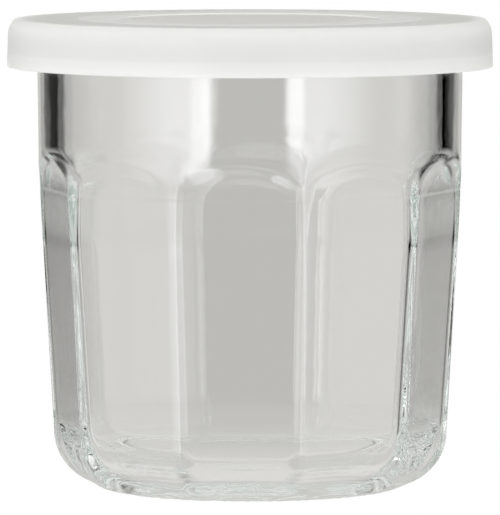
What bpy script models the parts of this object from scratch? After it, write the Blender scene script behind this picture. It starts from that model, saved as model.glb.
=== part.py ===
"""A ten-sided pressed-glass jam jar with a push-on plastic lid.

Two solids, in metres, +Z up: the jar stands on z = 0 with its axis on Z, and the lid sits on its rim.
The jar is a turned blank with a round band and a rim bead. A ten-sided form, turned in ten steps, is
intersected with it. The form gives the flat panels, runs out under the band in arches, and carries the
panels down round the heel. The inside follows the outside: a turned cavity is intersected with a smaller
ten-sided form and then cut from the jar.
"""

import math

import bpy

MM = 0.001

# Facets round each turned piece, and flat panels round the jar
COLUMNS = 80
PANELS = 10
PANEL_TURN = math.radians(-3.2)
PANEL_COSINE = math.cos(math.pi / PANELS)

# The jar, outside: radius of the band, and of the ridges between the panels
BAND_TOP_RADIUS = 42.0 * MM
BAND_TOP_HEIGHT = 81.8 * MM
BAND_FOOT_RADIUS = 41.8 * MM
BAND_FOOT_HEIGHT = 62.0 * MM
SPRING_HEIGHT = 59.3 * MM
SPRING_RADIUS = 41.75 * MM
RIDGE_TAPER = math.radians(3.29)
ARCH_SWEEP = 12.0 * MM
OUTER_ARCH_END = 90.0
RIDGE_FILLET = 4.0 * MM
FORM_OVERRUN = 2.0 * MM

# The heel is a quarter ellipse that ends on a flat bearing ring
HEEL_HEIGHT = 11.0 * MM
HEEL_CENTRE_RADIUS = 27.4 * MM
HEEL_STEPS = 8
HEEL_END = math.radians(80.0)
FORM_HEEL_END = math.radians(68.0)
RING_OUTER_RADIUS = 28.6 * MM
RING_INNER_RADIUS = 27.0 * MM
PUSH_UP_EDGE_RADIUS = 26.2 * MM
PUSH_UP_EDGE_HEIGHT = 0.7 * MM
PUSH_UP_HEIGHT = 2.0 * MM

# The jar, inside: radius of the rounded corners between its panels, and of the wall inside the band
FLOOR_HEIGHT = 5.4 * MM
FLOOR_FILLET = 9.0 * MM
FLOOR_FILLET_STEPS = 6
FORM_FILLET_END = 68.0
FLOOR_WALL_RADIUS = 36.1 * MM
PANEL_WALL_RADIUS = 38.9 * MM
PANEL_WALL_HEIGHT = 50.0 * MM
INNER_SPRING_RADIUS = 38.5 * MM
INNER_SPRING_HEIGHT = 58.5 * MM
BAND_WALL_RADIUS = 38.0 * MM
BAND_WALL_HEIGHT = 69.0 * MM
MOUTH_RADIUS = 38.1 * MM
INNER_FILLET = 5.0 * MM
INNER_ARCH_SWEEP = 29.0 * MM
INNER_ARCH_END = 40.0

# The rim bead that the lid clips over
RIM_HEIGHT = 91.3 * MM
RIM_INNER_ROUND = 1.8 * MM
RIM_OUTER_ROUND = 2.2 * MM
BEAD_RADIUS = 45.4 * MM
BEAD_FOOT_HEIGHT = 87.4 * MM
BEAD_UNDERSIDE_ROUND = 1.4 * MM
NECK_FILLET = 1.6 * MM

# The lid
LID_TOP_HEIGHT = 92.8 * MM
LID_PLATE = 1.2 * MM
LID_BAND_STEP = 0.16 * MM
LID_CENTRE_STEP = 0.28 * MM
LID_STEP_WIDTH = 0.5 * MM
LID_BAND_OUTER_RADIUS = 33.5 * MM
LID_BAND_INNER_RADIUS = 26.2 * MM
LID_CREASE_RADIUS = 46.2 * MM
LID_SHOULDER_RADIUS = 47.8 * MM
LID_SHOULDER_DROP = 3.4 * MM
LID_SKIRT_HEIGHT = 83.3 * MM
LID_SKIRT_RADIUS = 48.0 * MM
LID_SKIRT_EDGE_ROUND = 0.35 * MM
LID_INNER_RADIUS = 46.1 * MM
LID_INNER_ROUND = 1.0 * MM
LID_CLIP_RADIUS = 44.9 * MM
LID_CLIP_LOW = 84.3 * MM
LID_CLIP_HIGH = 85.0 * MM
LID_CLIP_TOP = 86.2 * MM
LID_MOUTH_RADIUS = 46.4 * MM


def arc(centre, radius, start, end, steps):
    """Points on a round arc in the (radius, height) plane, between two angles in degrees."""
    points = []
    for step in range(steps + 1):
        angle = math.radians(start + (end - start) * step / steps)
        points.append((centre[0] + radius * math.cos(angle), centre[1] + radius * math.sin(angle)))
    return points


def ridge_radius(height):
    """Radius of the ridges between the panels at a height above the heel."""
    return SPRING_RADIUS - (SPRING_HEIGHT - height) * math.tan(RIDGE_TAPER)


def heel(end):
    """Points down the heel, from the top of its quarter ellipse to the angle where it ends."""
    reach = ridge_radius(HEEL_HEIGHT) - HEEL_CENTRE_RADIUS
    points = []
    for step in range(HEEL_STEPS + 1):
        angle = end * step / HEEL_STEPS
        radius = HEEL_CENTRE_RADIUS + reach * math.cos(angle)
        points.append((radius, HEEL_HEIGHT * (1.0 - math.sin(angle))))
    return points


def floor_fillet(end):
    """Points down the curve between the inner wall and the floor, to an angle in degrees."""
    centre = (FLOOR_WALL_RADIUS - FLOOR_FILLET, FLOOR_HEIGHT + FLOOR_FILLET)
    return arc(centre, FLOOR_FILLET, 0.0, -end, FLOOR_FILLET_STEPS)


def inner_wall():
    """Points down the inside's corners, from where its arches spring to the floor's fillet."""
    return [(INNER_SPRING_RADIUS, INNER_SPRING_HEIGHT), (PANEL_WALL_RADIUS, PANEL_WALL_HEIGHT)]


def blank_profile():
    """The turned blank, from the middle of the mouth, over the rim and down to the middle of the base."""
    rim = [(0.0, RIM_HEIGHT)]
    rim += arc((BEAD_RADIUS - RIM_OUTER_ROUND, RIM_HEIGHT - RIM_OUTER_ROUND), RIM_OUTER_ROUND, 90.0, 0.0, 4)
    rim += arc((BEAD_RADIUS - BEAD_UNDERSIDE_ROUND, BEAD_FOOT_HEIGHT), BEAD_UNDERSIDE_ROUND, 0.0, -45.0, 2)
    neck_centre = (BAND_TOP_RADIUS + NECK_FILLET, BAND_TOP_HEIGHT + NECK_FILLET)
    rim += arc(neck_centre, NECK_FILLET, 135.0, 180.0, 2)

    wall = [(BAND_TOP_RADIUS, BAND_TOP_HEIGHT), (BAND_FOOT_RADIUS, BAND_FOOT_HEIGHT)]
    wall.append((SPRING_RADIUS, SPRING_HEIGHT))
    wall += heel(HEEL_END)

    base = [(RING_OUTER_RADIUS, 0.0), (RING_INNER_RADIUS, 0.0)]
    base.append((PUSH_UP_EDGE_RADIUS, PUSH_UP_EDGE_HEIGHT))
    base.append((0.0, PUSH_UP_HEIGHT))
    return rim + wall + base


def cavity_profile():
    """The turned cavity, from above the mouth, down its wall and over the floor."""
    top = RIM_HEIGHT + FORM_OVERRUN
    rim_centre = (MOUTH_RADIUS + RIM_INNER_ROUND, RIM_HEIGHT - RIM_INNER_ROUND)
    mouth = [(0.0, top), (rim_centre[0] + FORM_OVERRUN, top)]
    mouth += arc(rim_centre, RIM_INNER_ROUND, 105.0, 180.0, 3)
    band = [(BAND_WALL_RADIUS, BAND_WALL_HEIGHT)]
    return mouth + band + inner_wall() + floor_fillet(90.0) + [(0.0, FLOOR_HEIGHT)]


def form_profile(wall, sweep, sweep_end, fillet):
    """A ten-sided form, down its corners: out over the arches, and down a wall that starts at their spring."""
    blunting = fillet * (1.0 - PANEL_COSINE)
    panels = [(radius * PANEL_COSINE + blunting, height) for radius, height in wall]
    arches = arc((panels[0][0] + sweep, panels[0][1]), sweep, 180.0 - sweep_end, 180.0, 8)
    half_widths = arches + panels[1:]
    corners = [(half_width / PANEL_COSINE, height) for half_width, height in half_widths]
    top = LID_TOP_HEIGHT + FORM_OVERRUN
    start = [(0.0, top), (corners[0][0], top)]
    return start + corners + [(corners[-1][0], -FORM_OVERRUN), (0.0, -FORM_OVERRUN)]


def lid_profile():
    """The lid, from the middle of its top, over the skirt and back under the plate."""
    centre_height = LID_TOP_HEIGHT - LID_CENTRE_STEP
    band_height = LID_TOP_HEIGHT - LID_BAND_STEP
    top = [(0.0, centre_height), (LID_BAND_INNER_RADIUS - LID_STEP_WIDTH, centre_height)]
    top += [(LID_BAND_INNER_RADIUS, band_height), (LID_BAND_OUTER_RADIUS, band_height)]
    top += [(LID_BAND_OUTER_RADIUS + LID_STEP_WIDTH, LID_TOP_HEIGHT), (LID_CREASE_RADIUS, LID_TOP_HEIGHT)]

    shoulder = []
    for step in range(1, 5):
        angle = math.radians(90.0 - 90.0 * step / 4)
        radius = LID_CREASE_RADIUS + (LID_SHOULDER_RADIUS - LID_CREASE_RADIUS) * math.cos(angle)
        shoulder.append((radius, LID_TOP_HEIGHT - LID_SHOULDER_DROP * (1.0 - math.sin(angle))))

    edge_centre = (LID_SKIRT_RADIUS - LID_SKIRT_EDGE_ROUND, LID_SKIRT_HEIGHT + LID_SKIRT_EDGE_ROUND)
    skirt = arc(edge_centre, LID_SKIRT_EDGE_ROUND, 0.0, -90.0, 2)
    skirt.append((LID_MOUTH_RADIUS, LID_SKIRT_HEIGHT))
    skirt += [(LID_CLIP_RADIUS, LID_CLIP_LOW), (LID_CLIP_RADIUS, LID_CLIP_HIGH), (LID_INNER_RADIUS, LID_CLIP_TOP)]

    underside = LID_TOP_HEIGHT - LID_PLATE
    under = arc((LID_INNER_RADIUS - LID_INNER_ROUND, underside - LID_INNER_ROUND), LID_INNER_ROUND, 0.0, 90.0, 2)
    under.append((0.0, underside))
    return top + shoulder + skirt + under


def new_collection(name):
    """A collection in the scene."""
    collection = bpy.data.collections.new(name)
    bpy.context.scene.collection.children.link(collection)
    return collection


def turned(name, profile, steps, smooth, collection):
    """An object turned round Z from a profile of (radius, height) points."""
    mesh = bpy.data.meshes.new(name)
    points = [(radius, 0.0, height) for radius, height in profile]
    edges = [(index, index + 1) for index in range(len(points) - 1)]
    mesh.from_pydata(points, edges, [])
    piece = bpy.data.objects.new(name, mesh)
    collection.objects.link(piece)
    screw = piece.modifiers.new("Turned", "SCREW")
    screw.axis = "Z"
    screw.angle = 2.0 * math.pi
    screw.steps = steps
    screw.render_steps = steps
    screw.use_merge_vertices = True
    screw.merge_threshold = 0.01 * MM
    screw.use_smooth_shade = smooth
    return piece


def material(name, colour, roughness, transmission):
    """A Principled material that is not metallic."""
    finish = bpy.data.materials.new(name)
    finish.use_nodes = True
    shader = finish.node_tree.nodes["Principled BSDF"]
    shader.inputs["Base Color"].default_value = (*colour, 1.0)
    shader.inputs["Roughness"].default_value = roughness
    shader.inputs["Metallic"].default_value = 0.0
    shader.inputs["Transmission Weight"].default_value = transmission
    return finish


def cutter(name, profile, steps, smooth, collection):
    """A turned object that only cuts others, at the panels' angle."""
    tool = turned(name, profile, steps, smooth, collection)
    tool.rotation_euler = (0.0, 0.0, PANEL_TURN)
    tool.display_type = "WIRE"
    tool.hide_render = True
    return tool


def cut(piece, name, operation, tool):
    """A Boolean on a piece by another object."""
    boolean = piece.modifiers.new(name, "BOOLEAN")
    boolean.operation = operation
    boolean.solver = "EXACT"
    boolean.object = tool


def make_glass_jar(parts, cutters):
    """The jar: the blank, kept where the outer form is, less the cavity, kept where the inner form is."""
    outer_wall = [(SPRING_RADIUS, SPRING_HEIGHT)] + heel(FORM_HEEL_END)
    outer_profile = form_profile(outer_wall, ARCH_SWEEP, OUTER_ARCH_END, RIDGE_FILLET)
    outer_form = cutter("outer_form", outer_profile, PANELS, False, cutters)
    inner_profile = form_profile(
        inner_wall() + floor_fillet(FORM_FILLET_END), INNER_ARCH_SWEEP, INNER_ARCH_END, INNER_FILLET
    )
    inner_form = cutter("inner_form", inner_profile, PANELS, False, cutters)
    cavity = cutter("cavity", cavity_profile(), COLUMNS, True, cutters)
    cut(cavity, "Inner panels", "INTERSECT", inner_form)

    jar = turned("glass_jar", blank_profile(), COLUMNS, True, parts)
    jar.rotation_euler = (0.0, 0.0, PANEL_TURN)
    cut(jar, "Panels", "INTERSECT", outer_form)
    cut(jar, "Inside", "DIFFERENCE", cavity)
    jar.data.materials.append(material("Clear pressed glass", (0.93, 0.95, 0.94), 0.02, 1.0))
    return jar


def make_lid(parts):
    """The lid: one turned cap of thin plastic."""
    lid = turned("lid", lid_profile(), COLUMNS, True, parts)
    lid.rotation_euler = (0.0, 0.0, PANEL_TURN)
    lid.data.materials.append(material("Milky soft plastic", (0.86, 0.86, 0.85), 0.45, 0.0))
    return lid


def main():
    for old in list(bpy.data.objects):
        bpy.data.objects.remove(old, do_unlink=True)
    parts = new_collection("jam_jar")
    cutters = new_collection("cutters")
    stand = bpy.data.objects.new("jam_jar_base", None)
    parts.objects.link(stand)
    for piece in (make_glass_jar(parts, cutters), make_lid(parts)):
        piece.parent = stand


main()
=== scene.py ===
import math

import bmesh
import bpy
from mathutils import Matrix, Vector, noise


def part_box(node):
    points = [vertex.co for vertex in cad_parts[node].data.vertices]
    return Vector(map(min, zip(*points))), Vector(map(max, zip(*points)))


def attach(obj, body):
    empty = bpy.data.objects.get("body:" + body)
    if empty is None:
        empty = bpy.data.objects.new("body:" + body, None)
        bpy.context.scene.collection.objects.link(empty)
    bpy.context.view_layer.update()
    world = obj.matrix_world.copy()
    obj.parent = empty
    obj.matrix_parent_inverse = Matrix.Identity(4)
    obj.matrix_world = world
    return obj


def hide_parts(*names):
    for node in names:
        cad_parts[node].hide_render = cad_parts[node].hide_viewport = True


bl_info = {
    "name": "Jam jar",
    "version": (1, 0, 0),
    "blender": (4, 5, 0),
    "location": "3D View > Sidebar > Jam jar",
    "description": "A panelled pressed-glass jam jar with a milky push-on lid, and its studio",
    "category": "Object",
}

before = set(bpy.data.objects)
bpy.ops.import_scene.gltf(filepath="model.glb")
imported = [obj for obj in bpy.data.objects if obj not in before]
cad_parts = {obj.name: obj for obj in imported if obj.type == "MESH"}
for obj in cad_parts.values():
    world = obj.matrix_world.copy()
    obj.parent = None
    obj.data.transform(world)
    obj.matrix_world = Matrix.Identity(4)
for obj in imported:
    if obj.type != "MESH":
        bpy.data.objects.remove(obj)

MM = 0.001
ROOT_BODY = "root"
GLASS_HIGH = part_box("glass_jar")[1]
LID_LOW, LID_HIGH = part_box("lid")

PANELS = 10
PANEL_ANGLE = 2.0 * math.pi / PANELS
PANEL_TURN = math.radians(-3.2)
HALF_PANEL = math.pi / PANELS
PANEL_COSINE = math.cos(HALF_PANEL)

# The bearing ring under the jar, the slopes beside the lid's raised band, and the lid's clip ring
RING_OUTER = 29.0 * MM
RING_INNER = 26.6 * MM
BAND_SLOPE = 0.3 * MM
CLIP_HEIGHT = 2.9 * MM


# Shader maths


class Value:
    """A shader socket that Python's operators work on. Each operator adds a Math node."""

    def __init__(self, graph, socket):
        self.graph = graph
        self.socket = socket

    def maths(self, operation, *others, swapped=False):
        operands = [self, *others]
        if swapped:
            operands.reverse()
        sockets = dict(enumerate(operands))
        return self.graph.add("ShaderNodeMath", {"operation": operation}, sockets).value()

    def __add__(self, other):
        return self.maths("ADD", other)

    __radd__ = __add__

    def __sub__(self, other):
        return self.maths("SUBTRACT", other)

    def __rsub__(self, other):
        return self.maths("SUBTRACT", other, swapped=True)

    def __mul__(self, other):
        return self.maths("MULTIPLY", other)

    __rmul__ = __mul__

    def smooth(self, low, high):
        """0 at low and 1 at high, with soft ends. Low may be the larger."""
        settings = {"interpolation_type": "SMOOTHSTEP", "clamp": True}
        sockets = {"Value": self, "From Min": low, "From Max": high}
        return self.graph.add("ShaderNodeMapRange", settings, sockets).value("Result")

    def between(self, start, end, softness):
        """1 between start and end, and 0 outside, with edges this soft."""
        rise = self.smooth(start - softness, start + softness)
        return rise * self.smooth(end + softness, end - softness)


class Node:
    """A shader node that gives its outputs as values."""

    def __init__(self, graph, node):
        self.graph = graph
        self.node = node

    def value(self, name=0):
        return Value(self.graph, self.node.outputs[name])


class Graph:
    """One node tree, which starts empty."""

    def __init__(self, tree):
        self.tree = tree
        tree.nodes.clear()

    def add(self, kind, settings=None, sockets=None):
        """A node of one type: its settings first, then the values or links of its sockets."""
        node = self.tree.nodes.new(kind)
        for name, setting in (settings or {}).items():
            setattr(node, name, setting)
        for name, source in (sockets or {}).items():
            if isinstance(source, Value):
                self.tree.links.new(source.socket, node.inputs[name])
            else:
                node.inputs[name].default_value = source
        return Node(self, node)

    def mix(self, share, first, second):
        """A blend of two colours. A Mix node takes them as sockets 6 and 7 and gives output 2."""
        sockets = {0: share, 6: first, 7: second}
        return self.add("ShaderNodeMix", {"data_type": "RGBA"}, sockets).value(2)


def new_material(name):
    """A material and its empty node graph."""
    material = bpy.data.materials.new(name)
    material.use_nodes = True
    return material, Graph(material.node_tree)


# Mesh helpers


def arc(centre, size, start, end, steps):
    """Points on an elliptic arc in the (radius, height) plane, between two angles in degrees."""
    points = []
    for step in range(steps + 1):
        angle = math.radians(start + (end - start) * step / steps)
        points.append((centre[0] + size[0] * math.cos(angle), centre[1] + size[1] * math.sin(angle)))
    return points


def line(start, end, steps):
    """Evenly spaced points on a line, without its first point."""
    return [tuple(a + (b - a) * step / steps for a, b in zip(start, end)) for step in range(1, steps + 1)]


def draw_profile(bm, profile):
    """A chain of edges through (radius, height) points, in the plane that is turned round Z."""
    verts = [bm.verts.new((radius, 0.0, height)) for radius, height in profile]
    for pair in zip(verts, verts[1:]):
        bm.edges.new(pair)
    return verts


def spin_about_z(bm, angle, steps, full_turn):
    """Turns the drawn profile round Z."""
    bmesh.ops.spin(
        bm, geom=bm.verts[:] + bm.edges[:], cent=(0, 0, 0), axis=(0, 0, 1), angle=angle,
        steps=steps, use_merge=full_turn, use_duplicate=False,
    )


def close_up(bm):
    """Merges the seams and poles of a turned shape and points its faces outwards."""
    bmesh.ops.remove_doubles(bm, verts=bm.verts, dist=0.002 * MM)
    bmesh.ops.recalc_face_normals(bm, faces=bm.faces)


def finish_piece(bm, name, material, node):
    """Makes a bmesh the smooth piece that stands for a CAD node."""
    mesh = bpy.data.meshes.new(name)
    bm.to_mesh(mesh)
    bm.free()
    mesh.shade_smooth()
    mesh.materials.append(material)
    piece = bpy.data.objects.new(name, mesh)
    bpy.context.scene.collection.objects.link(piece)
    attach(piece, ROOT_BODY)
    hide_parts(node)
    return piece


def ease(low, high, value):
    """0 below low and 1 above high, with soft ends."""
    share = min(max((value - low) / (high - low), 0.0), 1.0)
    return share * share * (3.0 - 2.0 * share)


def soft_min(first, second, blend):
    """The smaller of two lengths, rounded where they meet."""
    overlap = max(blend - abs(first - second), 0.0) / blend
    return min(first, second) - overlap * overlap * blend / 4.0


# Sizes and colours


def length(name, description, default):
    """A length property, given in millimetres."""
    return bpy.props.FloatProperty(
        name=name, description=description, default=default * MM, unit="LENGTH", precision=5
    )


def colour(name, description, default):
    """A colour property."""
    return bpy.props.FloatVectorProperty(
        name=name, description=description, default=(*default, 1.0), size=4, subtype="COLOR"
    )


def share(name, description, default):
    """A property for a share of a whole, from 0 to 1."""
    return bpy.props.FloatProperty(
        name=name, description=description, default=default, min=0.0, max=1.0, subtype="FACTOR"
    )


class JarSizes(bpy.types.PropertyGroup):
    band_radius: length("Band radius", "Outer radius at the top of the round band", 42.0)
    band_foot_radius: length("Band foot radius", "Outer radius at the foot of the band", 41.8)
    band_top: length("Band top", "Height where the neck fillet starts", 81.8)
    spring: length("Arch spring", "Height where the arches spring from the ridges", 59.3)
    spring_radius: length("Ridge radius", "Radius of the ridges at the arch spring", 41.75)
    ridge_foot_radius: length("Ridge foot radius", "Radius of the ridges at the top of the heel", 38.97)
    arch_sweep: length("Arch sweep", "Radius of the hollow curve that ends each panel", 12.0)
    arch_blend: length("Arch softness", "Width over which an arch's edge is rounded", 0.5)
    ridge_fillet: length("Ridge fillet", "Radius of the rounded ridges", 4.0)
    heel_height: length("Heel height", "Height of the heel's curve", 11.0)
    heel_centre: length("Heel centre", "Radius where the heel's curve meets the table", 27.4)
    floor: length("Floor", "Height of the inner floor", 5.4)
    floor_fillet: length("Floor fillet", "Radius between the floor and the wall", 9.0)
    floor_wall: length("Wall radius at floor", "Radius of the inner corners above the floor fillet", 36.1)
    panel_wall: length("Wall radius at panels", "Radius of the inner corners at the wall bend", 38.9)
    panel_wall_height: length("Wall bend", "Height where the inner corners are widest", 50.0)
    band_wall: length("Wall radius at band", "Inner radius inside the band", 38.0)
    band_wall_height: length("Band wall foot", "Height where the inner wall is round again", 69.0)
    inner_fillet: length("Inner fillet", "Radius of the rounded inner corners", 5.0)
    inner_arch_low: length("Inner arch foot", "Height where the inner flats start to fade", 58.5)
    inner_arch_high: length("Inner arch top", "Height where the inner flats have faded", 68.0)
    mouth: length("Mouth radius", "Inner radius at the rim", 38.1)
    push_up: length("Push-up", "Height of the middle of the base", 2.0)
    stipple: length("Stipple depth", "Depth of the fine bumps on the bearing ring", 0.12)
    wave: length("Wave height", "Height of the slight waves of the inner wall", 0.012)


class LidSizes(bpy.types.PropertyGroup):
    plate: length("Plate", "Thickness of the lid's top", 1.2)
    crease: length("Crease radius", "Radius where the top turns into the shoulder", 46.4)
    shoulder: length("Shoulder drop", "Height of the rounded shoulder", 3.4)
    shoulder_radius: length("Shoulder radius", "Radius at the foot of the shoulder", 47.8)
    band_outer: length("Band outer radius", "Outer radius of the raised band", 33.5)
    band_inner: length("Band inner radius", "Inner radius of the raised band", 25.6)
    edge_step: length("Edge step", "How far the edge of the top lies below the raised band", 0.09)
    centre_step: length("Centre step", "How far the middle disc lies below the raised band", 0.28)
    inner_radius: length("Inner radius", "Radius inside the skirt", 46.1)


class Finishes(bpy.types.PropertyGroup):
    glass_tint: colour("Glass tint", "Colour that light takes on in thick glass", (0.80, 0.95, 0.90))
    tint_density: bpy.props.FloatProperty(
        name="Tint density", description="How fast light takes on the glass's tint", default=1.8, min=0.0
    )
    lid_side: colour("Lid side", "Colour of the skirt and the shoulder", (0.88, 0.88, 0.885))
    # Painted light: the foot of the skirt is painted lighter, where light comes through it below the
    # glass bead.
    lid_lit_foot: colour("Lid foot", "Colour of the skirt where the clip ring backs it", (0.97, 0.97, 0.96))
    # Painted shade: the edge of the top is painted darker and warmer than the sides, where less light
    # falls on it.
    lid_top_shade: colour("Lid top", "Colour of the edge of the top", (0.85, 0.85, 0.83))
    # Partly painted highlight: the raised band is painted lighter, partly for its own thicker plastic and
    # partly as a painted highlight.
    lid_band_and_highlight: colour("Lid band", "Colour of the raised band", (0.93, 0.93, 0.92))
    # Painted shade: the middle disc is painted darker, as the dark inside of the jar lies beneath it.
    lid_middle_shade: colour("Lid middle", "Colour of the middle disc", (0.84, 0.825, 0.80))
    lid_glow: colour("Lid glow", "Colour of the light that comes through the lid", (0.93, 0.93, 0.92))
    see_through: share("See-through", "Share of the lid's light that comes through it", 0.65)
    band_loss: share("Band loss", "How much less of it comes through the raised band", 0.12)


class StudioLook(bpy.types.PropertyGroup):
    distance: length("Camera distance", "From the aim point to the camera", 1385.0)
    elevation: bpy.props.FloatProperty(
        name="Camera elevation", description="Angle above the horizon",
        default=math.radians(4.35), subtype="ANGLE",
    )
    aim: length("Aim height", "Height on the jar's axis at the picture's middle", 45.4)
    lens: bpy.props.FloatProperty(
        name="Lens", description="Focal length in millimetres",
        default=489.0, subtype="DISTANCE_CAMERA",
    )


# The glass


def section_radius(angle, half_width, fillet):
    """Radius of the ten-sided section with rounded ridges, at an angle from a panel's middle."""
    angle = abs(angle)
    flat_end = math.atan((half_width - fillet) * math.tan(HALF_PANEL) / half_width)
    if angle <= flat_end:
        return half_width / math.cos(angle)
    centre = (half_width - fillet) / PANEL_COSINE
    from_ridge = HALF_PANEL - angle
    return centre * math.cos(from_ridge) + math.sqrt(fillet**2 - (centre * math.sin(from_ridge)) ** 2)


def inside_profile(sizes):
    """The inside of the jar's section, from the middle of the floor up to the rim."""
    points = [(0.0, sizes.floor)]
    fillet_start = sizes.floor_wall - sizes.floor_fillet
    points += line(points[-1], (fillet_start, sizes.floor), 10)
    fillet_centre = (fillet_start, sizes.floor + sizes.floor_fillet)
    points += arc(fillet_centre, (sizes.floor_fillet, sizes.floor_fillet), -90.0, 0.0, 12)[1:]
    points += line(points[-1], (sizes.panel_wall, sizes.panel_wall_height), 14)
    foot = points[-1]
    steps = 22
    for step in range(1, steps + 1):
        share = step / steps
        closing = (sizes.band_wall - foot[0]) * ease(0.0, 1.0, share)
        points.append((foot[0] + closing, foot[1] + (sizes.band_wall_height - foot[1]) * share))
    rim_round = 1.8 * MM
    mouth_top = GLASS_HIGH.z - rim_round
    points += line(points[-1], (sizes.mouth, mouth_top), 5)
    points += arc((sizes.mouth + rim_round, mouth_top), (rim_round, rim_round), 180.0, 90.0, 6)[1:]
    return points


def outside_profile(sizes):
    """The outside of the jar's section, from the top of the rim down to the middle of the base."""
    bead_round = 2.2 * MM
    underside_round = 1.4 * MM
    neck = 1.6 * MM
    rim_top = GLASS_HIGH.z
    bead = GLASS_HIGH.x
    bead_foot = rim_top - 3.9 * MM
    rim = arc((bead - bead_round, rim_top - bead_round), (bead_round, bead_round), 90.0, 0.0, 6)
    rim += arc((bead - underside_round, bead_foot), (underside_round, underside_round), 0.0, -45.0, 4)
    neck_centre = (sizes.band_radius + neck, sizes.band_top + neck)
    rim += arc(neck_centre, (neck, neck), 135.0, 180.0, 5)

    above_arches = 68.5 * MM
    below_arches = 57.5 * MM
    wall = line(rim[-1], (sizes.band_foot_radius, above_arches), 5)
    wall += line(wall[-1], (ridge_radius(sizes, below_arches), below_arches), 34)
    heel_top = ridge_radius(sizes, sizes.heel_height)
    wall += line(wall[-1], (heel_top, sizes.heel_height), 12)
    reach = heel_top - sizes.heel_centre
    heel = arc((sizes.heel_centre, sizes.heel_height), (reach, sizes.heel_height), 0.0, -78.0, 20)[1:]

    ring_inner = (RING_INNER, 0.0)
    hollow_edge = (25.6 * MM, 1.0 * MM)
    base = line(heel[-1], (RING_OUTER, 0.0), 2)
    base += line(base[-1], ring_inner, 6)
    base += line(ring_inner, hollow_edge, 4)
    base += line(hollow_edge, (0.0, sizes.push_up), 8)
    return rim + wall + heel + base


def ridge_radius(sizes, height):
    """Radius of the ridges between the panels at a height above the heel."""
    share = (sizes.spring - height) / (sizes.spring - sizes.heel_height)
    return sizes.spring_radius + (sizes.ridge_foot_radius - sizes.spring_radius) * share


def panelled_radius(sizes, radius, height, angle):
    """Where a point of the turned outside goes, at an angle from its panel's middle."""
    heel_round, heel_panelled = 29.5 * MM, 32.5 * MM
    fillet = sizes.ridge_fillet
    blunting = fillet * (1.0 / PANEL_COSINE - 1.0)
    band = sizes.band_foot_radius
    if height > sizes.spring:
        full_rise = sizes.arch_sweep * 0.999
        rise = min(height - sizes.spring, full_rise)
        sweep = sizes.arch_sweep - math.sqrt(sizes.arch_sweep**2 - rise**2)
        half_width = (sizes.spring_radius + blunting) * PANEL_COSINE + sweep
        return soft_min(max(radius, band), section_radius(angle, half_width, fillet), sizes.arch_blend)
    half_width = (radius + blunting) * PANEL_COSINE
    panelled = soft_min(band, section_radius(angle, half_width, fillet), sizes.arch_blend)
    return radius + (panelled - radius) * ease(heel_round, heel_panelled, radius)


def inner_radius(sizes, radius, height, angle):
    """Where a point of the turned inside goes: to rounded flats below the band, and nowhere inside it."""
    floor_round, floor_panelled = 10.0 * MM, 24.0 * MM
    fillet = sizes.inner_fillet
    half_width = radius * PANEL_COSINE + fillet * (1.0 - PANEL_COSINE)
    if half_width <= fillet:
        return radius
    flats = 1.0 - ease(sizes.inner_arch_low, sizes.inner_arch_high, height)
    flats *= ease(floor_round, floor_panelled, radius)
    return radius + (section_radius(angle, half_width, fillet) - radius) * flats


def glass_mesh(sizes, columns):
    """The jar: one panel's share is turned and shaped, and then repeated round the axis."""
    bm = bmesh.new()
    inside = bm.verts.layers.int.new("inside")
    inner_wall = draw_profile(bm, inside_profile(sizes))
    for vert in inner_wall:
        vert[inside] = 1
    outer_wall = draw_profile(bm, outside_profile(sizes))
    bm.edges.new((inner_wall[-1], outer_wall[0]))
    spin_about_z(bm, angle=PANEL_ANGLE, steps=columns, full_turn=False)

    # The columns of points crowd together at the ridges, and the pole of the base stays where it is.
    crowding = 0.75
    pole = 1.0 * MM
    for vert in bm.verts:
        x, y, height = vert.co
        radius = math.hypot(x, y)
        across = math.atan2(y, x) / PANEL_ANGLE - 0.5
        across += crowding * math.sin(2.0 * math.pi * across) / (2.0 * math.pi)
        if vert[inside]:
            radius = inner_radius(sizes, radius, height, across * PANEL_ANGLE)
        elif height < sizes.band_top and radius > pole:
            radius = panelled_radius(sizes, radius, height, across * PANEL_ANGLE)
        angle = (across + 0.5) * PANEL_ANGLE + PANEL_TURN
        vert.co = (radius * math.cos(angle), radius * math.sin(angle), height)
    bmesh.ops.spin(
        bm, geom=bm.verts[:] + bm.edges[:] + bm.faces[:], cent=(0, 0, 0), axis=(0, 0, 1),
        angle=2.0 * math.pi - PANEL_ANGLE, steps=PANELS - 1, use_merge=False, use_duplicate=True,
    )
    close_up(bm)

    across_scale, up_scale, bump_scale = 160.0, 18.0, 900.0
    ring_top = 1.0 * MM
    stipple_inner, stipple_outer = 25.8 * MM, 30.5 * MM
    for vert in bm.verts:
        x, y, z = vert.co
        radius = math.hypot(x, y)
        if vert[inside] and z < sizes.band_wall_height:
            wave = sizes.wave * noise.noise((x * across_scale, y * across_scale, z * up_scale))
            stretch = 1.0 + wave / sizes.band_wall
            vert.co = (x * stretch, y * stretch, z)
        elif not vert[inside] and z < ring_top:
            ring = ease(stipple_inner, RING_INNER, radius) * ease(stipple_outer, RING_OUTER, radius)
            bump = noise.noise((x * bump_scale, y * bump_scale, 0.0))
            vert.co.z += sizes.stipple * ring * max(0.5 + bump, 0.0)
    return bm


class JAMJAR_OT_glass(bpy.types.Operator):
    """Model the pressed-glass jar"""

    bl_idname = "jamjar.glass"
    bl_label = "Glass jar"

    def execute(self, context):
        bm = glass_mesh(context.scene.jar_sizes, columns=48)
        material = glass_material(context.scene.finishes)
        finish_piece(bm, "pressed_glass", material, "glass_jar")
        return {"FINISHED"}


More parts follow.
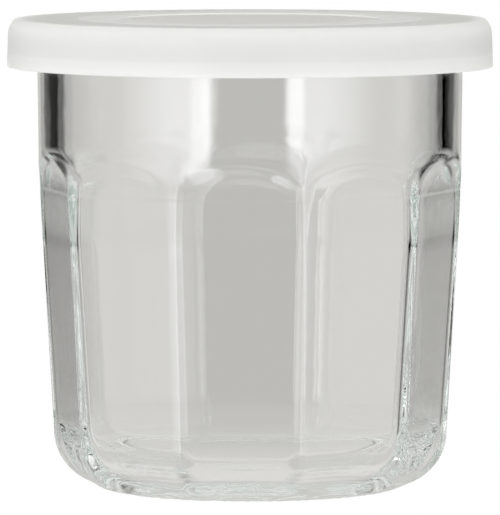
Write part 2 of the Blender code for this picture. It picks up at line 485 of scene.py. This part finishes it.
def glass_material(finishes):
    """Clear, faintly green glass with slight waves."""
    material, graph = new_material("Pressed glass")
    place = graph.add("ShaderNodeTexCoord").value("Object")
    waves = graph.add("ShaderNodeTexNoise", {}, {"Vector": place, "Scale": 110.0, "Detail": 2.0})
    bump = graph.add("ShaderNodeBump", {}, {
        "Height": waves.value(0),
        "Strength": 0.03,
        "Distance": 1.0 * MM,
    })
    shader = graph.add("ShaderNodeBsdfPrincipled", {}, {
        "Base Color": (1.0, 1.0, 1.0, 1.0),
        "Roughness": 0.0,
        "IOR": 1.52,
        "Transmission Weight": 1.0,
        "Normal": bump.value("Normal"),
    })
    tint = graph.add("ShaderNodeVolumeAbsorption", {}, {
        "Color": finishes.glass_tint,
        "Density": finishes.tint_density,
    })
    graph.add("ShaderNodeOutputMaterial", {}, {"Surface": shader.value(), "Volume": tint.value()})
    return material


# The lid


def lid_profile(sizes):
    """The lid's section, from the middle of its top, over the skirt and back under the plate."""
    top = LID_HIGH.z
    foot = LID_LOW.z
    skirt = LID_HIGH.x
    step = BAND_SLOPE
    centre = top - sizes.centre_step
    edge_top = top - sizes.edge_step
    points = [(0.0, centre)]
    points += line(points[-1], (sizes.band_inner - 2.0 * step, centre), 6)
    points += line(points[-1], (sizes.band_inner - step, centre), 1)
    points += line(points[-1], (sizes.band_inner, top), 2)
    points += line(points[-1], (sizes.band_inner + step, top), 1)
    points += line(points[-1], (sizes.band_outer - step, top), 4)
    points += line(points[-1], (sizes.band_outer, top), 1)
    points += line(points[-1], (sizes.band_outer + step, edge_top), 2)
    points += line(points[-1], (sizes.band_outer + 2.0 * step, edge_top), 1)

    crease_angle = 60.0
    crease_run = 0.2 * MM
    points += line(points[-1], (sizes.crease - crease_run, edge_top), 6)
    shoulder_foot = top - sizes.shoulder
    reach = (sizes.shoulder_radius - sizes.crease) / (1.0 - math.cos(math.radians(crease_angle)))
    rise = (edge_top - shoulder_foot) / math.sin(math.radians(crease_angle))
    shoulder_centre = (sizes.shoulder_radius - reach, shoulder_foot)
    points += arc(shoulder_centre, (reach, rise), crease_angle, 0.0, 12)
    edge = 0.35 * MM
    points += line(points[-1], (skirt, foot + edge), 8)
    points += arc((skirt - edge, foot + edge), (edge, edge), 0.0, -90.0, 4)[1:]

    clip_start = 46.4 * MM
    clip_radius = 44.9 * MM
    points += line(points[-1], (clip_start, foot), 2)
    points += line(points[-1], (clip_radius, foot + 1.0 * MM), 3)
    points += line(points[-1], (clip_radius, foot + 1.7 * MM), 2)
    points += line(points[-1], (sizes.inner_radius, foot + CLIP_HEIGHT), 3)
    under = top - sizes.plate
    corner = 1.0 * MM
    points += line(points[-1], (sizes.inner_radius, under - corner), 3)
    points += arc((sizes.inner_radius - corner, under - corner), (corner, corner), 0.0, 90.0, 5)[1:]
    points += line(points[-1], (0.0, under), 8)
    return points


class JAMJAR_OT_lid(bpy.types.Operator):
    """Model the push-on lid"""

    bl_idname = "jamjar.lid"
    bl_label = "Lid"

    def execute(self, context):
        sizes = context.scene.lid_sizes
        bm = bmesh.new()
        draw_profile(bm, lid_profile(sizes))
        spin_about_z(bm, angle=2.0 * math.pi, steps=240, full_turn=True)
        close_up(bm)
        material = lid_material(sizes, context.scene.finishes)
        finish_piece(bm, "push_lid", material, "lid")
        return {"FINISHED"}


def lid_material(sizes, finishes):
    """Milky soft plastic with a satin face, which passes much of the light that falls on it. Its colour
    holds painted light: a lighter foot, painted shade on the top's edge and middle disc, and a band that
    is partly painted highlight.
    """
    soft = 0.2 * MM
    top_start, top_end = LID_HIGH.z - 1.0 * MM, LID_HIGH.z - 0.5 * MM
    band_start = sizes.band_inner - BAND_SLOPE
    band_end = sizes.band_outer + BAND_SLOPE + soft
    middle_edge = band_start - 0.5 * soft
    clip_top = LID_LOW.z + CLIP_HEIGHT

    material, graph = new_material("Milky plastic")
    place = graph.add("ShaderNodeTexCoord").value("Object")
    parts = graph.add("ShaderNodeSeparateXYZ", {}, {0: place})
    x, y, z = (parts.value(axis) for axis in "XYZ")
    radius = (x * x + y * y).maths("SQRT")
    on_top = z.smooth(top_start, top_end)
    band = radius.between(band_start, band_end, soft) * on_top
    middle = radius.smooth(middle_edge + soft, middle_edge - soft) * on_top
    # Painted light: this mask marks the skirt's foot, which is painted lighter.
    foot_light_mask = z.smooth(clip_top + soft, clip_top - soft)

    # Painted shade: the top's edge is darker than the skirt and the shoulder.
    face_colour = graph.mix(on_top, finishes.lid_side, finishes.lid_top_shade)
    face_colour = graph.mix(foot_light_mask, face_colour, finishes.lid_lit_foot)
    # The band is lighter, partly its own thicker plastic and partly a painted highlight.
    face_colour = graph.mix(band, face_colour, finishes.lid_band_and_highlight)
    # Painted shade: the middle disc is darker, over the dark inside of the jar.
    face_colour = graph.mix(middle, face_colour, finishes.lid_middle_shade)
    see_through = finishes.see_through - finishes.band_loss * band
    grain = graph.add("ShaderNodeTexNoise", {}, {"Vector": place, "Scale": 900.0, "Detail": 3.0})
    bump = graph.add("ShaderNodeBump", {}, {
        "Height": grain.value(0),
        "Strength": 0.1,
        "Distance": 0.2 * MM,
    })
    face = graph.add("ShaderNodeBsdfPrincipled", {}, {
        "Base Color": face_colour,
        "Roughness": 0.25,
        "Normal": bump.value("Normal"),
    })
    through = graph.add("ShaderNodeBsdfTranslucent", {}, {"Color": finishes.lid_glow})
    both = graph.add("ShaderNodeMixShader", {}, {0: see_through, 1: face.value(), 2: through.value()})
    graph.add("ShaderNodeOutputMaterial", {}, {"Surface": both.value()})
    return material


# The stage


def make_camera(look):
    """The camera at the photograph's angle."""
    data = bpy.data.cameras.new("Camera")
    data.lens = look.lens
    data.sensor_width = 36.0
    data.clip_start = 0.1
    data.clip_end = 20.0
    camera = bpy.data.objects.new("Camera", data)
    bpy.context.scene.collection.objects.link(camera)
    away = Vector((0.0, -math.cos(look.elevation), math.sin(look.elevation)))
    camera.location = Vector((0.0, 0.0, look.aim)) + away * look.distance
    camera.rotation_euler = (-away).to_track_quat("-Z", "Y").to_euler()
    bpy.context.scene.camera = camera


def studio_world():
    """Soft boxes beside the camera and dark cards behind the glass, in a pale room.

    Azimuth is 0 towards the camera and grows to its right. Both angles are in degrees, and each
    light or shade is its strength times the angles that it fills. Matte faces are lit by a brighter
    even room, and the camera sees plain white.
    """
    world = bpy.data.worlds.new("Studio")
    bpy.context.scene.world = world
    world.use_nodes = True
    graph = Graph(world.node_tree)
    way = graph.add("ShaderNodeTexCoord").value("Generated")
    parts = graph.add("ShaderNodeSeparateXYZ", {}, {0: way})
    x, y, z = (parts.value(axis) for axis in "XYZ")
    azimuth = x.maths("ARCTAN2", -1.0 * y) * (180.0 / math.pi)
    height = z.maths("ARCSINE") * (180.0 / math.pi)
    away = azimuth.maths("ABSOLUTE")

    left_box = 2.18 * azimuth.smooth(-84.0, -41.0) * azimuth.smooth(-20.5, -23.0)
    left_core = 1.3 * azimuth.between(-33.0, -22.5, 2.0)
    right_box = 1.1 * azimuth.smooth(18.5, 21.5) * azimuth.smooth(75.0, 47.0)
    right_core = 1.2 * azimuth.between(22.0, 30.0, 1.0)
    boxes = (left_box + left_core + right_box + right_core) * height.between(-16.0, 6.0, 11.0)

    plain_wall = 0.468
    ceiling = 0.095 * height.smooth(20.0, 60.0)
    table = (0.12 + 0.12 * away.smooth(100.0, 70.0)) * height.smooth(-12.0, -42.0)
    screen = 0.115 * away.smooth(158.0, 164.0)
    left_wall = 0.375 * azimuth.between(-112.0, -60.0, 10.0)
    right_wall = 0.295 * azimuth.between(60.0, 105.0, 10.0)
    gap_height = height.smooth(25.0, 7.0) * height.smooth(-56.0, -40.0)
    gap = 0.446 * azimuth.between(-21.0, 19.0, 2.0) * gap_height
    card_sides = azimuth.between(-159.0, -121.0, 3.0) + azimuth.between(121.0, 156.5, 3.0)
    cards = 0.45 * card_sides * height.between(-8.0, 5.0, 4.0)
    shade = 0.33 * azimuth.between(108.0, 132.0, 5.0) * height.between(-28.0, -2.0, 5.0)
    walls = plain_wall + ceiling + table + screen + left_wall + right_wall - gap - cards - shade
    matte_room = 1.49 - 0.12 * x + 0.04 * z

    warm, cool, white = (1.01, 1.0, 0.96, 1.0), (1.0, 1.0, 1.03, 1.0), (1.0, 1.0, 1.0, 1.0)
    wall_light = graph.add("ShaderNodeBackground", {}, {"Color": warm, "Strength": walls})
    box_light = graph.add("ShaderNodeBackground", {}, {"Color": cool, "Strength": boxes})
    matte_light = graph.add("ShaderNodeBackground", {}, {"Color": white, "Strength": matte_room})
    backdrop = graph.add("ShaderNodeBackground", {}, {"Color": white, "Strength": 1.0})
    room = graph.add("ShaderNodeAddShader", {}, {0: wall_light.value(), 1: box_light.value()})
    rays = graph.add("ShaderNodeLightPath")
    lit = graph.add("ShaderNodeMixShader", {}, {
        0: rays.value("Is Diffuse Ray"),
        1: room.value(),
        2: matte_light.value(),
    })
    seen = graph.add("ShaderNodeMixShader", {}, {
        0: rays.value("Is Camera Ray"),
        1: lit.value(),
        2: backdrop.value(),
    })
    graph.add("ShaderNodeOutputWorld", {}, {"Surface": seen.value()})


def make_floor():
    """The white floor, which only the camera sees."""
    material, graph = new_material("White floor")
    glow = graph.add("ShaderNodeEmission", {}, {"Color": (1.0, 1.0, 1.0, 1.0), "Strength": 1.0})
    graph.add("ShaderNodeOutputMaterial", {}, {"Surface": glow.value()})
    bm = bmesh.new()
    bmesh.ops.create_circle(bm, cap_ends=True, radius=4.0, segments=96)
    mesh = bpy.data.meshes.new("floor")
    bm.to_mesh(mesh)
    bm.free()
    mesh.materials.append(material)
    floor = bpy.data.objects.new("floor", mesh)
    bpy.context.scene.collection.objects.link(floor)
    floor.visible_diffuse = False
    floor.visible_glossy = False
    floor.visible_transmission = False
    floor.visible_shadow = False


class JAMJAR_OT_stage(bpy.types.Operator):
    """Set up the camera, the studio light and the floor"""

    bl_idname = "jamjar.stage"
    bl_label = "Studio"

    def execute(self, context):
        make_camera(context.scene.studio_look)
        studio_world()
        make_floor()
        scene = context.scene
        scene.view_settings.view_transform = "Standard"
        scene.cycles.use_denoising = True
        # Light is thrown about many times within the thick heel before it leaves the glass.
        glass_bounces = 96
        scene.cycles.max_bounces = glass_bounces
        scene.cycles.transmission_bounces = glass_bounces
        scene.cycles.glossy_bounces = glass_bounces
        scene.cycles.diffuse_bounces = 10
        scene.cycles.transparent_max_bounces = 16
        return {"FINISHED"}


class VIEW3D_PT_jam_jar(bpy.types.Panel):
    """The jar's pieces and its studio"""

    bl_label = "Jam jar"
    bl_space_type = "VIEW_3D"
    bl_region_type = "UI"
    bl_category = "Jam jar"

    def draw(self, context):
        layout = self.layout
        for operator in OPERATORS:
            layout.operator(operator.bl_idname)


OPERATORS = (JAMJAR_OT_stage, JAMJAR_OT_glass, JAMJAR_OT_lid)
GROUPS = {"jar_sizes": JarSizes, "lid_sizes": LidSizes, "finishes": Finishes, "studio_look": StudioLook}
CLASSES = (*GROUPS.values(), *OPERATORS, VIEW3D_PT_jam_jar)


def register():
    for cls in CLASSES:
        bpy.utils.register_class(cls)
    for name, group in GROUPS.items():
        setattr(bpy.types.Scene, name, bpy.props.PointerProperty(type=group))


def unregister():
    for name in GROUPS:
        delattr(bpy.types.Scene, name)
    for cls in reversed(CLASSES):
        bpy.utils.unregister_class(cls)


def main():
    register()
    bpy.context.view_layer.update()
    bpy.ops.jamjar.stage()
    bpy.ops.jamjar.glass()
    bpy.ops.jamjar.lid()
    bpy.context.view_layer.update()


if __name__ == "__main__":
    main()
